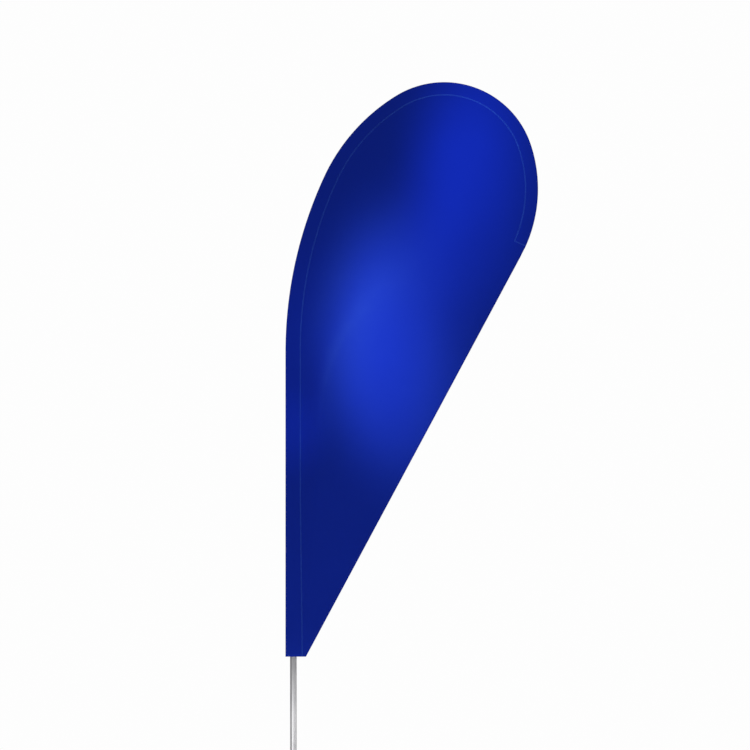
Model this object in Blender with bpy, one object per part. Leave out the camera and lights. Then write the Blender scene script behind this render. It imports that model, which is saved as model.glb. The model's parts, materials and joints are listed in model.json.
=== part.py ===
"""Teardrop flag on a folding cross base.

Metres, +Z up, standing on z = 0, with the origin under the middle of the whole object's box.
The flag lies in the XZ plane and reaches towards +X from a vertical spindle. Every piece is drawn
around the spindle's axis and hangs on an empty that stands there: one for the base, one for the
folding upper bar, one for the rotator that turns on ball bearings, one for the mast that lifts off.
"""

from math import acos, atan2, cos, pi, radians, sin

import bmesh
import bpy
from mathutils import Vector

# Clearances
GAP = 0.0003                    # between pieces that touch
CLOTH_GAP = 0.0006              # between a pole and the cloth around it
CUTTER_REACH = 0.010            # how far a cutter runs past what it cuts

# Broken edges
CHAMFER = 0.001
FINE_CHAMFER = 0.0005
NUT_CHAMFER_SHARE = 0.35        # of a nut's wall, from the bore to the middle of a flat
SHARP_ANGLE = radians(35)

# Sail
SAIL_HEIGHT = 2.188
SAIL_WIDTH = 0.961
SAIL_LIFT = 0.590               # the sail's foot above the ground
FOOT_WIDTH = 0.0767
CLOTH = 0.0006
BELLY = 0.045                   # how far the sail stands out of its own plane
BELLY_CREST_LOW = 0.17          # the belly's crest, as a share of the way across the sail
BELLY_CREST_HIGH = 0.60
CREST_SHIFT_FROM = 0.45         # heights between which the crest moves over
CREST_SHIFT_TO = 0.84
BELLY_RISE = 1.42               # above 1 the belly sits higher up the sail
BELLY_SHARPNESS = 2.0           # above 1 the belly runs out sooner towards foot and top
APEX_TURN = radians(100)        # where the rows across the sail stop having a left side

# Pole pocket along the sail's bowed edge
EDGE_TO_POLE_FOOT = 0.0293      # folded edge to the pole's axis, along the straight stretch
EDGE_TO_POLE_TIP = 0.0204       # the same, where the bow points straight down
POCKET_WIDTH_FOOT = 0.0633
POCKET_WIDTH_STRAIGHT = 0.0562
POCKET_WIDTH_SHOULDER = 0.0483
POCKET_WIDTH_TIP = 0.0468
POCKET_FLARE = 0.590            # height over which the foot's extra width runs out
SHOULDER_TURN = radians(35)
POCKET_SHORT_OF_EDGE = 0.040    # from the pocket's end to the straight trailing edge
POCKET_SEAM = 0.008
POCKET_FOLD = 0.002
POCKET_END = 0.005
NARROW_DELAY = 0.030            # from a joint in the mast to where the pocket starts to narrow
NARROW_AT_JOINT = 0.120         # height over which it narrows to the middle pole
NARROW_AT_ROD = 0.270           # the same, to the upper rod

# Bow: tangent arcs above the straight stretch, each radius a share of the bow's width
BOW_RADII = (1.707, 0.7545, 0.3555, 0.5628)
BOW_TURNS = (radians(24.9), radians(33.4), radians(103.2))
TURN_STEP = radians(5)
TURN_PRECISION = radians(1e-9)

# Lower pole, aluminium tube
POLE_DIAMETER = 0.025
POLE_WALL = 0.0015
POLE_LENGTH = 1.124
POLE_CHAMFER = 0.0004

# Middle pole, fibreglass tube that plugs into the lower pole
MIDDLE_LENGTH = 0.950
MIDDLE_PLUG = 0.100
MIDDLE_WALL = 0.002
STOP_RING_HEIGHT = 0.012

# Upper rod, tapered solid fibreglass, held in the middle pole by a bush
ROD_FOOT_DIAMETER = 0.012
ROD_TIP_DIAMETER = 0.0065
ROD_PLUG = 0.120
BUSH_LENGTH = 0.060
BUSH_RIM = 0.004
CAP_LENGTH = 0.020
CAP_WALL = 0.0018
CAP_END = 0.003
TIP_PAD = 0.004

# Button and elastic loop that pull the sail down, inside the pocket's foot
BUTTON_HEIGHT = 0.060           # above the sail's foot
BUTTON_NECK = 0.005
BUTTON_HEAD = 0.009
BUTTON_HEAD_THICKNESS = 0.0018
BUTTON_DOME_SHARE = 0.6         # of the head's radius and thickness where the dome starts
RIVET_FLANGE = 0.001
RIVET_TAIL = 0.0012
LOOP_THICKNESS = 0.0012
LOOP_STRAND = 0.0025
LOOP_LIFT = 0.002               # the loop's lower end above the sail's foot
LOOP_FLAT = 0.0001              # what is left straight between the loop's end corners

# Cross base
BAR_WIDTH = 0.030
BAR_HEIGHT = 0.015
BAR_WALL = 0.0015
BAR_CORNER = 0.003
LOWER_BAR_LENGTH = 0.760
LOWER_BAR_LIFT = 0.014
PLUG_DEPTH = 0.014
PLUG_FLANGE = 0.004
PLUG_LEAD = 0.002               # length of the plug's tapered tip
PLUG_TAPER = 0.001
PLUG_CROWN = 0.0015
FOOT_INSET = 0.025              # a foot's axis from its bar's end
PAD_DIAMETER = 0.030
PAD_WAIST = 0.024
PAD_RIM = 0.005                 # height of the pad's full width
PAD_NECK = 0.002                # height of its straight waist
PAD_RECESS = 0.0065             # depth of the screw's recess in the pad's underside
FOLD_CLEARANCE = 0.006          # between the folded upper bar's feet and the lower bar's ends
SCREW_DIAMETER = 0.006
SCREW_HEAD_DIAMETER = 0.011
SCREW_HEAD_HEIGHT = 0.0035
SCREW_DOME_SHARE = 0.7
SCREW_PAST_NUT = 0.0015
SCREW_NUT_WIDTH = 0.010
SCREW_NUT_HEIGHT = 0.004

# Spindle and its clamp
SPINDLE_DIAMETER = 0.012
SPINDLE_HEAD_WIDTH = 0.019
SPINDLE_HEAD_HEIGHT = 0.0075
SPINDLE_ABOVE_NUT = 0.0035
SPINDLE_TAPER = 0.0015
PIVOT_WASHER_DIAMETER = 0.028
PIVOT_WASHER_THICKNESS = 0.001
CLAMP_WASHER_DIAMETER = 0.026
CLAMP_WASHER_THICKNESS = 0.002
CLAMP_NUT_HEIGHT = 0.010

# Rotator
AXLE_DIAMETER = 0.008
BEARING_WIDTH = 0.005
RACE_SHARE = 0.28               # each race's share of the bearing's thickness
SHIELD_INSET_SHARE = 0.1        # of the bearing's width, from a race's face to its shield
AXLE_PAST_NUT = 0.001
SPIGOT_SKIRT = 0.001            # how far the spigot hangs below its lower bearing
SPIGOT_WALL = 0.0024
SPIGOT_LENGTH = 0.150
SPIGOT_FLANGE_DIAMETER = 0.034
SPIGOT_FLANGE_HEIGHT = 0.005
UPPER_BEARING_DEPTH = 0.011     # from the spigot's top down to the upper bearing
LOCK_NUT_HEIGHT = 0.0065
LOCK_NUT_CLEARANCE = 0.001      # off its corners' diameter, inside the spigot's bore
CAP_FLANGE = 0.002
CAP_PLUG = 0.002

# Facets around round pieces, across the sail and round the pocket's back
ROUND = 24
ROD_ROUND = 12
SAIL_COLUMNS = 12
WRAP_STEPS = 4

# Worked out from the sizes above
POLE_RADIUS = POLE_DIAMETER / 2
POLE_BORE = POLE_RADIUS - POLE_WALL
MIDDLE_RADIUS = POLE_BORE - GAP
MIDDLE_BORE = MIDDLE_RADIUS - MIDDLE_WALL
SPIGOT_RADIUS = POLE_BORE - GAP
BEARING_POCKET = SPIGOT_RADIUS - SPIGOT_WALL
BEARING_RADIUS = BEARING_POCKET - GAP
AXLE_BORE = AXLE_DIAMETER / 2 + GAP
RACE_THICKNESS = (BEARING_RADIUS - AXLE_BORE) * RACE_SHARE

LOWER_BAR_TOP = LOWER_BAR_LIFT + BAR_HEIGHT
UPPER_BAR_LIFT = LOWER_BAR_TOP + GAP + PIVOT_WASHER_THICKNESS + GAP
UPPER_BAR_TOP = UPPER_BAR_LIFT + BAR_HEIGHT
LOWER_BAR_REACH = LOWER_BAR_LENGTH / 2 + GAP + PLUG_FLANGE
UPPER_FOOT_REACH = LOWER_BAR_REACH + FOLD_CLEARANCE + PAD_DIAMETER / 2
UPPER_BAR_LENGTH = 2 * (UPPER_FOOT_REACH + FOOT_INSET)

CLAMP_WASHER_FOOT = UPPER_BAR_TOP + GAP
CLAMP_NUT_FOOT = CLAMP_WASHER_FOOT + CLAMP_WASHER_THICKNESS + GAP
SPINDLE_SHOULDER = CLAMP_NUT_FOOT + CLAMP_NUT_HEIGHT + SPINDLE_ABOVE_NUT
LOWER_BEARING_FOOT = SPINDLE_SHOULDER + GAP
SPIGOT_FOOT = LOWER_BEARING_FOOT - SPIGOT_SKIRT
SEAT = SPIGOT_FOOT + SPIGOT_FLANGE_HEIGHT
SPIGOT_TOP = SEAT + SPIGOT_LENGTH
UPPER_BEARING_FOOT = SPIGOT_TOP - UPPER_BEARING_DEPTH - BEARING_WIDTH
LOCK_NUT_FOOT = UPPER_BEARING_FOOT + BEARING_WIDTH + GAP
POLE_FOOT = SEAT + GAP

BOW_WIDTH = SAIL_WIDTH - EDGE_TO_POLE_FOOT - EDGE_TO_POLE_TIP
SAIL_REACH = SAIL_WIDTH - EDGE_TO_POLE_FOOT
SPINDLE_X = (LOWER_BAR_REACH - SAIL_REACH) / 2


# ---------------------------------------------------------------- the bow's line

def interpolate(value, knots):
    """Read a value off straight lines between (place, value) knots."""
    if value <= knots[0][0]:
        return knots[0][1]
    for (place_a, value_a), (place_b, value_b) in zip(knots, knots[1:]):
        if value <= place_b:
            return value_a + (value_b - value_a) * (value - place_a) / (place_b - place_a)
    return knots[-1][1]


def arc_end(x, z, heading, radius, turn):
    """Follow an arc that turns clockwise, with the heading measured from straight up."""
    new = heading + turn
    return x + radius * (cos(heading) - cos(new)), z + radius * (sin(new) - sin(heading)), new


def bow_at_turn(turn, radii, straight):
    """Point and path length on the bow where it has turned by this angle from straight up."""
    x, z, heading, length = 0.0, straight, 0.0, straight
    turns = BOW_TURNS + (2 * pi,)
    for radius, sweep in zip(radii, turns):
        part = min(sweep, turn - heading)
        x, z, heading = arc_end(x, z, heading, radius, part)
        length += radius * part
        if turn <= heading:
            break
    return x, z, length


def edge_to_pole(turn):
    """Distance from the sail's folded edge to the pole's axis."""
    return EDGE_TO_POLE_FOOT + (EDGE_TO_POLE_TIP - EDGE_TO_POLE_FOOT) * turn / pi


UNIT_WIDTH = bow_at_turn(pi, BOW_RADII, 0.0)[0]
RADII = tuple(share * BOW_WIDTH / UNIT_WIDTH for share in BOW_RADII)
STRAIGHT = SAIL_HEIGHT - edge_to_pole(pi / 2) - bow_at_turn(pi / 2, RADII, 0.0)[1]


def edge_at_turn(turn):
    """Point on the sail's outer edge, in the sail's own plane, foot at z = 0."""
    x, z = bow_at_turn(turn, RADII, STRAIGHT)[:2]
    return x - edge_to_pole(turn) * cos(turn), z + edge_to_pole(turn) * sin(turn)


def trailing_turn():
    """The turn at which the edge points straight at the foot's outer corner, by bisection."""
    corner = FOOT_WIDTH - EDGE_TO_POLE_FOOT
    low, high = pi, 3 * pi / 2
    while high - low > TURN_PRECISION:
        middle = (low + high) / 2
        x, z = edge_at_turn(middle)
        if middle < pi + atan2(x - corner, z):
            low = middle
        else:
            high = middle
    return low


END_TURN = trailing_turn()
POCKET_LENGTH = bow_at_turn(END_TURN, RADII, STRAIGHT)[2] - POCKET_SHORT_OF_EDGE
SHOULDER_LENGTH = bow_at_turn(SHOULDER_TURN, RADII, STRAIGHT)[2]

# Places along the pole's axis, measured from the sail's foot
POLE_JOINT = POLE_FOOT + POLE_LENGTH - SAIL_LIFT
MIDDLE_FOOT = POLE_JOINT - MIDDLE_PLUG
MIDDLE_TOP = MIDDLE_FOOT + MIDDLE_LENGTH
ROD_FOOT = MIDDLE_TOP - ROD_PLUG
BUSH_FOOT = MIDDLE_TOP - BUSH_LENGTH
CAVITY_END = POCKET_LENGTH - POCKET_END
TIP_PAD_TOP = CAVITY_END - GAP
CAP_TOP = TIP_PAD_TOP - TIP_PAD - GAP
ROD_TOP = CAP_TOP - CAP_END - GAP
CAP_FOOT = CAP_TOP - CAP_LENGTH
JOINT_NARROW_FOOT = POLE_JOINT + NARROW_DELAY
JOINT_NARROW_TOP = JOINT_NARROW_FOOT + NARROW_AT_JOINT
ROD_NARROW_FOOT = MIDDLE_TOP + NARROW_DELAY
ROD_NARROW_TOP = ROD_NARROW_FOOT + NARROW_AT_ROD


def turn_at(length):
    """How far the bow has turned at this path length."""
    left, turned = length - STRAIGHT, 0.0
    if left <= 0:
        return 0.0
    for radius, sweep in zip(RADII, BOW_TURNS + (2 * pi,)):
        if left <= radius * sweep:
            return turned + left / radius
        left -= radius * sweep
        turned += sweep
    return turned


def bow_frame(length):
    """Centre, and the direction towards the inside of the bow, at this path length."""
    turn = turn_at(length)
    if turn == 0.0:
        centre = Vector((0.0, 0.0, SAIL_LIFT + length))
    else:
        x, z = bow_at_turn(turn, RADII, STRAIGHT)[:2]
        centre = Vector((x, 0.0, SAIL_LIFT + z))
    return centre, Vector((cos(turn), 0.0, -sin(turn)))


def all_stations():
    """Path lengths where every piece on the bow has a ring, so that all bend alike."""
    marks = [0.0, POCKET_FLARE, STRAIGHT, MIDDLE_FOOT, MIDDLE_TOP, MIDDLE_TOP + BUSH_RIM + GAP,
             POLE_JOINT, POLE_JOINT + STOP_RING_HEIGHT + GAP, ROD_FOOT, BUSH_FOOT,
             JOINT_NARROW_FOOT, JOINT_NARROW_TOP, ROD_NARROW_FOOT, ROD_NARROW_TOP,
             (ROD_NARROW_FOOT + ROD_NARROW_TOP) / 2,
             CAP_FOOT, ROD_TOP, CAP_TOP, CAVITY_END, POCKET_LENGTH]
    step = 1
    while step * TURN_STEP < turn_at(POCKET_LENGTH) - TURN_STEP / 3:
        marks.append(bow_at_turn(step * TURN_STEP, RADII, STRAIGHT)[2])
        step += 1
    return sorted(marks)


STATIONS = all_stations()


def stations(start, end):
    """The shared stations between two path lengths, with both ends."""
    inner = [mark for mark in STATIONS if start + GAP < mark < end - GAP]
    return [start] + inner + [end]


def pocket_width(length):
    knots = ((0.0, POCKET_WIDTH_FOOT), (POCKET_FLARE, POCKET_WIDTH_STRAIGHT),
             (max(STRAIGHT, POCKET_FLARE + GAP), POCKET_WIDTH_STRAIGHT),
             (max(SHOULDER_LENGTH, POCKET_FLARE + 2 * GAP), POCKET_WIDTH_SHOULDER),
             (POCKET_LENGTH, POCKET_WIDTH_TIP))
    return interpolate(length, knots)


def rod_radius(length):
    knots = ((ROD_FOOT, ROD_FOOT_DIAMETER / 2), (ROD_TOP, ROD_TIP_DIAMETER / 2))
    return interpolate(length, knots)


CAP_RADIUS = rod_radius(CAP_FOOT) + GAP + CAP_WALL


def pocket_room(length):
    """Radius that the pocket leaves free around the pole's axis."""
    knots = ((JOINT_NARROW_FOOT, POLE_RADIUS), (JOINT_NARROW_TOP, MIDDLE_RADIUS),
             (ROD_NARROW_FOOT, MIDDLE_RADIUS), (ROD_NARROW_TOP, ROD_FOOT_DIAMETER / 2),
             (POCKET_LENGTH, max(CAP_RADIUS, ROD_TIP_DIAMETER / 2)))
    return interpolate(length, knots) + CLOTH_GAP


# ---------------------------------------------------------------- making meshes

def make_material(name, color, metallic, roughness):
    made = bpy.data.materials.new(name)
    made.use_nodes = True
    shader = made.node_tree.nodes["Principled BSDF"]
    shader.inputs["Base Color"].default_value = (*color, 1.0)
    shader.inputs["Metallic"].default_value = metallic
    shader.inputs["Roughness"].default_value = roughness
    return made


FINISHES = {
    "sail_cloth": ((0.006, 0.016, 0.30), 0.0, 0.55),
    "loop_elastic": ((0.02, 0.02, 0.025), 0.0, 0.9),
    "pole_aluminium": ((0.52, 0.52, 0.55), 1.0, 0.35),
    "fibreglass": ((0.05, 0.05, 0.055), 0.0, 0.35),
    "bar_paint": ((0.03, 0.03, 0.033), 0.2, 0.5),
    "plain_steel": ((0.55, 0.55, 0.56), 1.0, 0.3),
    "moulded_plastic": ((0.025, 0.025, 0.028), 0.0, 0.4),
    "foot_rubber": ((0.02, 0.02, 0.02), 0.0, 0.85),
}


def add_piece(name, mesh, parent, finish):
    """Link a mesh as an object that has its own material and hangs on its body's empty."""
    piece = bpy.data.objects.new(name, mesh)
    bpy.context.scene.collection.objects.link(piece)
    piece.parent = parent
    piece.data.materials.append(make_material(name, *FINISHES[finish]))
    return piece


def skin_mesh(name, rings, closed, split=False):
    """Mesh over a chain of equal rings: joined end to start when closed, else capped.

    Split cuts every face along its short diagonal, so that two thin walls bend alike.
    """
    built = bmesh.new()
    loops = [[built.verts.new(point) for point in ring] for ring in rings]
    pairs = list(zip(loops, loops[1:]))
    if closed:
        pairs.append((loops[-1], loops[0]))
    else:
        built.faces.new(loops[0])
        built.faces.new(loops[-1])
    for ring_a, ring_b in pairs:
        for index in range(len(ring_a)):
            after = (index + 1) % len(ring_a)
            built.faces.new((ring_a[index], ring_a[after], ring_b[after], ring_b[index]))
    if split:
        bmesh.ops.triangulate(built, faces=built.faces, quad_method="SHORT_EDGE")
    bmesh.ops.recalc_face_normals(built, faces=built.faces)
    mesh = bpy.data.meshes.new(name)
    built.to_mesh(mesh)
    built.free()
    mesh.shade_smooth()
    mesh.set_sharp_from_angle(angle=SHARP_ANGLE)
    return mesh


def skin(name, rings, parent, finish, closed=False, split=False):
    return add_piece(name, skin_mesh(name, rings, closed, split), parent, finish)


def circle(radius, z, x=0.0, y=0.0):
    steps = [2 * pi * step / ROUND for step in range(ROUND)]
    return [Vector((x + radius * cos(a), y + radius * sin(a), z)) for a in steps]


def hexagon(width, z):
    """A hexagon with as many points as a circle has, so that the two can share a skin."""
    ring = []
    for step in range(ROUND):
        angle = 2 * pi * step / ROUND
        off_flat = (angle + pi / 6) % (pi / 3) - pi / 6
        radius = width / 2 / cos(off_flat)
        ring.append(Vector((radius * cos(angle), radius * sin(angle), z)))
    return ring


def turned(name, profile, parent, finish, closed=True):
    """A round piece on the spindle's axis, from (radius, z) points."""
    return skin(name, [circle(radius, z) for radius, z in profile], parent, finish, closed)


def washer(name, outer, inner, foot, height, parent, finish):
    top = foot + height
    profile = ((outer, foot), (outer, top), (inner, top), (inner, foot))
    return turned(name, profile, parent, finish)


def nut_rings(width, bore, foot, height):
    """Rings of a hexagon nut with chamfered corners."""
    top = foot + height
    chamfer = (width / 2 - bore) * NUT_CHAMFER_SHARE
    inset = width / 2 - chamfer
    return [circle(inset, foot), hexagon(width, foot + chamfer), hexagon(width, top - chamfer),
            circle(inset, top), circle(bore, top), circle(bore, foot)]


def rounded_rectangle(width, height, corner, place):
    """Ring of a rectangle with round corners: place(across, up) gives each point."""
    ring = []
    for quarter in range(4):
        middle_x = (width / 2 - corner) * (1 if quarter in (0, 3) else -1)
        middle_z = (height / 2 - corner) * (1 if quarter in (0, 1) else -1)
        for step in range(3):
            angle = (quarter + step / 2) * pi / 2
            ring.append(place(middle_x + corner * cos(angle), middle_z + corner * sin(angle)))
    return ring


def round_cutter(name, radius, foot, top, x, y, parent):
    """A round cutter along Z, which leaves no solid of its own."""
    mesh = skin_mesh(name, [circle(radius, foot, x, y), circle(radius, top, x, y)], False)
    cutter = bpy.data.objects.new(name, mesh)
    bpy.context.scene.collection.objects.link(cutter)
    cutter.parent = parent
    cutter.hide_render = True
    cutter.display_type = "WIRE"
    return cutter


def cut(piece, cutter):
    modifier = piece.modifiers.new(cutter.name, "BOOLEAN")
    modifier.operation = "DIFFERENCE"
    modifier.solver = "EXACT"
    modifier.object = cutter


def add_empty(name):
    empty = bpy.data.objects.new(name, None)
    bpy.context.scene.collection.objects.link(empty)
    empty.location = (SPINDLE_X, 0.0, 0.0)
    return empty


# ---------------------------------------------------------------- cross base

def along_bar(name, along_x, sections, parent, finish, closed):
    """Skin over rounded rectangles at places along a bar: (place, width, height, corner, mid z)."""
    rings = []
    for place, width, height, corner, middle in sections:
        def put(across, up, place=place, middle=middle):
            if along_x:
                return Vector((place, across, middle + up))
            return Vector((across, place, middle + up))
        rings.append(rounded_rectangle(width, height, corner, put))
    return skin(name, rings, parent, finish, closed)


def build_bar(name, along_x, length, lift, foot_reach, parent):
    half, middle = length / 2, lift + BAR_HEIGHT / 2
    outer = (BAR_WIDTH, BAR_HEIGHT, BAR_CORNER, middle)
    inner = (BAR_WIDTH - 2 * BAR_WALL, BAR_HEIGHT - 2 * BAR_WALL, BAR_CORNER - BAR_WALL, middle)
    sections = ((-half, *outer), (half, *outer), (half, *inner), (-half, *inner))
    bar = along_bar(name, along_x, sections, parent, "bar_paint", True)
    top = lift + BAR_HEIGHT
    below, above = lift - CUTTER_REACH, top + CUTTER_REACH
    hole = SPINDLE_DIAMETER / 2 + GAP
    cut(bar, round_cutter(name + "_spindle_hole", hole, below, above, 0, 0, parent))
    for side in (-1, 1):
        x, y = (side * foot_reach, 0) if along_x else (0, side * foot_reach)
        cutter_name = name + "_foot_hole_" + ("a" if side < 0 else "b")
        hole = SCREW_DIAMETER / 2 + GAP
        cut(bar, round_cutter(cutter_name, hole, below, middle, x, y, parent))
    return bar


def build_end_plug(name, along_x, side, length, lift, parent):
    end, middle = length / 2, lift + BAR_HEIGHT / 2
    bore_width = BAR_WIDTH - 2 * BAR_WALL - 2 * GAP
    bore_height = BAR_HEIGHT - 2 * BAR_WALL - 2 * GAP
    bore = (bore_width, bore_height, max(BAR_CORNER - BAR_WALL - GAP, FINE_CHAMFER), middle)
    tip = (bore_width - PLUG_TAPER, bore_height - PLUG_TAPER, FINE_CHAMFER, middle)
    flange = (BAR_WIDTH, BAR_HEIGHT, BAR_CORNER, middle)
    crown = (BAR_WIDTH - 2 * PLUG_CROWN, BAR_HEIGHT - 2 * PLUG_CROWN, BAR_CORNER / 2, middle)
    face = end + GAP
    back = face + PLUG_FLANGE
    places = ((end - PLUG_DEPTH, tip), (end - PLUG_DEPTH + PLUG_LEAD, bore), (face, bore),
              (face, flange), (back - PLUG_CROWN, flange), (back, crown))
    sections = [(side * place, *section) for place, section in places]
    return along_bar(name, along_x, sections, parent, "moulded_plastic", False)


def build_foot(number, x, y, lift, parent):
    """Rubber pad under a bar's end, with its screw from below and its nut inside the bar."""
    top = lift - GAP
    hole = SCREW_DIAMETER / 2 + GAP
    recess = (SCREW_HEAD_DIAMETER + PAD_NECK) / 2
    rim, waist = PAD_DIAMETER / 2, PAD_WAIST / 2
    profile = ((rim - CHAMFER, 0.0), (rim, CHAMFER), (rim, PAD_RIM), (waist, top - PAD_NECK),
               (waist, top), (hole, top), (hole, PAD_RECESS), (recess, PAD_RECESS), (recess, 0.0))
    rings = [circle(radius, z, x, y) for radius, z in profile]
    skin(f"foot_pad_{number}", rings, parent, "foot_rubber", True)

    head_top = PAD_RECESS - GAP
    head_foot = head_top - SCREW_HEAD_HEIGHT
    nut_foot = lift + BAR_WALL + GAP
    nut_top = nut_foot + SCREW_NUT_HEIGHT
    head = SCREW_HEAD_DIAMETER / 2
    shank = SCREW_DIAMETER / 2
    profile = ((head * SCREW_DOME_SHARE, head_foot), (head, head_foot + CHAMFER),
               (head, head_top), (shank, head_top), (shank, nut_top + SCREW_PAST_NUT))
    rings = [circle(radius, z, x, y) for radius, z in profile]
    skin(f"foot_screw_{number}", rings, parent, "plain_steel")

    rings = nut_rings(SCREW_NUT_WIDTH, shank + GAP, nut_foot, SCREW_NUT_HEIGHT)
    rings = [[point + Vector((x, y, 0)) for point in ring] for ring in rings]
    skin(f"foot_nut_{number}", rings, parent, "plain_steel", True)


def build_cross_base(base, folding_bar):
    lower_foot_reach = LOWER_BAR_LENGTH / 2 - FOOT_INSET
    build_bar("lower_bar", True, LOWER_BAR_LENGTH, LOWER_BAR_LIFT, lower_foot_reach, base)
    build_bar("upper_bar", False, UPPER_BAR_LENGTH, UPPER_BAR_LIFT, UPPER_FOOT_REACH, folding_bar)
    for number, side in ((1, -1), (2, 1)):
        build_end_plug(f"end_plug_{number}", True, side, LOWER_BAR_LENGTH, LOWER_BAR_LIFT, base)
        build_foot(number, side * lower_foot_reach, 0.0, LOWER_BAR_LIFT, base)
    for number, side in ((3, -1), (4, 1)):
        name = f"end_plug_{number}"
        build_end_plug(name, False, side, UPPER_BAR_LENGTH, UPPER_BAR_LIFT, folding_bar)
        build_foot(number, 0.0, side * UPPER_FOOT_REACH, UPPER_BAR_LIFT, folding_bar)


# ---------------------------------------------------------------- spindle and rotator

def build_spindle(base):
    """One turned steel piece: hexagon head, clamping shank, shoulder and axle."""
    shank, axle = SPINDLE_DIAMETER / 2, AXLE_DIAMETER / 2
    head_top = LOWER_BAR_LIFT - GAP
    head_foot = head_top - SPINDLE_HEAD_HEIGHT
    race_shoulder = AXLE_BORE + RACE_THICKNESS
    axle_top = LOCK_NUT_FOOT + LOCK_NUT_HEIGHT + AXLE_PAST_NUT
    rings = [circle(SPINDLE_HEAD_WIDTH / 2 - CHAMFER, head_foot),
             hexagon(SPINDLE_HEAD_WIDTH, head_foot + CHAMFER),
             hexagon(SPINDLE_HEAD_WIDTH, head_top),
             circle(shank, head_top),
             circle(shank, SPINDLE_SHOULDER - SPINDLE_TAPER),
             circle(race_shoulder, SPINDLE_SHOULDER),
             circle(axle, SPINDLE_SHOULDER),
             circle(axle, axle_top - CHAMFER),
             circle(axle - CHAMFER, axle_top)]
    skin("spindle", rings, base, "plain_steel")


def build_clamp(base):
    hole = SPINDLE_DIAMETER / 2 + GAP
    washer("pivot_washer", PIVOT_WASHER_DIAMETER / 2, hole, LOWER_BAR_TOP + GAP,
           PIVOT_WASHER_THICKNESS, base, "moulded_plastic")
    washer("clamp_washer", CLAMP_WASHER_DIAMETER / 2, hole, CLAMP_WASHER_FOOT,
           CLAMP_WASHER_THICKNESS, base, "plain_steel")
    rings = nut_rings(SPINDLE_HEAD_WIDTH, hole, CLAMP_NUT_FOOT, CLAMP_NUT_HEIGHT)
    skin("clamp_nut", rings, base, "plain_steel", True)


def build_bearing(name, foot, base, rotator):
    """Deep-groove ball bearing with shields: two races and the caged balls between them."""
    inner_race = AXLE_BORE + RACE_THICKNESS
    outer_race = BEARING_RADIUS - RACE_THICKNESS
    washer(name + "_inner_race", inner_race, AXLE_BORE, foot, BEARING_WIDTH, base, "plain_steel")
    washer(name + "_outer_race", BEARING_RADIUS, outer_race, foot, BEARING_WIDTH, rotator,
           "plain_steel")
    inset = BEARING_WIDTH * SHIELD_INSET_SHARE
    washer(name + "_ball_cage", outer_race - GAP, inner_race + GAP, foot + inset,
           BEARING_WIDTH - 2 * inset, rotator, "plain_steel")


def build_rotator(base, rotator):
    build_bearing("lower_bearing", LOWER_BEARING_FOOT, base, rotator)
    build_bearing("upper_bearing", UPPER_BEARING_FOOT, base, rotator)

    sleeve_foot = LOWER_BEARING_FOOT + BEARING_WIDTH + GAP
    sleeve_height = UPPER_BEARING_FOOT - GAP - sleeve_foot
    washer("bearing_sleeve", AXLE_BORE + RACE_THICKNESS, AXLE_BORE, sleeve_foot, sleeve_height,
           base, "plain_steel")

    nut_width = (BEARING_RADIUS * 2 - LOCK_NUT_CLEARANCE) * cos(pi / 6)
    rings = nut_rings(nut_width, AXLE_BORE, LOCK_NUT_FOOT, LOCK_NUT_HEIGHT)
    skin("lock_nut", rings, base, "plain_steel", True)

    flange = SPIGOT_FLANGE_DIAMETER / 2
    neck = BEARING_RADIUS - RACE_THICKNESS
    upper_step = UPPER_BEARING_FOOT - GAP
    profile = ((flange - CHAMFER, SPIGOT_FOOT), (flange, SPIGOT_FOOT + CHAMFER), (flange, SEAT),
               (SPIGOT_RADIUS, SEAT), (SPIGOT_RADIUS, SPIGOT_TOP - CHAMFER),
               (SPIGOT_RADIUS - CHAMFER, SPIGOT_TOP), (BEARING_POCKET, SPIGOT_TOP),
               (BEARING_POCKET, upper_step), (neck, upper_step), (neck, sleeve_foot),
               (BEARING_POCKET, sleeve_foot), (BEARING_POCKET, SPIGOT_FOOT))
    turned("spigot", profile, rotator, "moulded_plastic")

    plug = BEARING_POCKET - GAP
    plug_foot = SPIGOT_TOP - CAP_PLUG
    cap_foot = SPIGOT_TOP + GAP
    cap_top = cap_foot + CAP_FLANGE
    profile = ((plug - FINE_CHAMFER, plug_foot), (plug, plug_foot + FINE_CHAMFER),
               (plug, cap_foot), (SPIGOT_RADIUS, cap_foot), (SPIGOT_RADIUS, cap_top - CHAMFER),
               (SPIGOT_RADIUS - 2 * CHAMFER, cap_top))
    turned("spigot_cap", profile, rotator, "moulded_plastic", False)


# ---------------------------------------------------------------- mast

def bow_circle(radius, length, segments):
    """Ring square to the bow's line."""
    centre, inward = bow_frame(length)
    ring = []
    for step in range(segments):
        angle = 2 * pi * step / segments
        ring.append(centre + inward * radius * cos(angle) + Vector((0, radius * sin(angle), 0)))
    return ring


def bow_tube(name, start, end, outer, inner, segments, mast, finish):
    """Tube along the bow."""
    places = stations(start, end)
    rings = [bow_circle(outer, place, segments) for place in places]
    rings += [bow_circle(inner, place, segments) for place in reversed(places)]
    return skin(name, rings, mast, finish, True)


def button_direction():
    """Turn about the pole's axis that points into the widest corner of the pocket's foot."""
    corner = POCKET_WIDTH_FOOT - EDGE_TO_POLE_FOOT - POCKET_SEAM
    return -atan2(pocket_room(0.0), corner)


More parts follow.
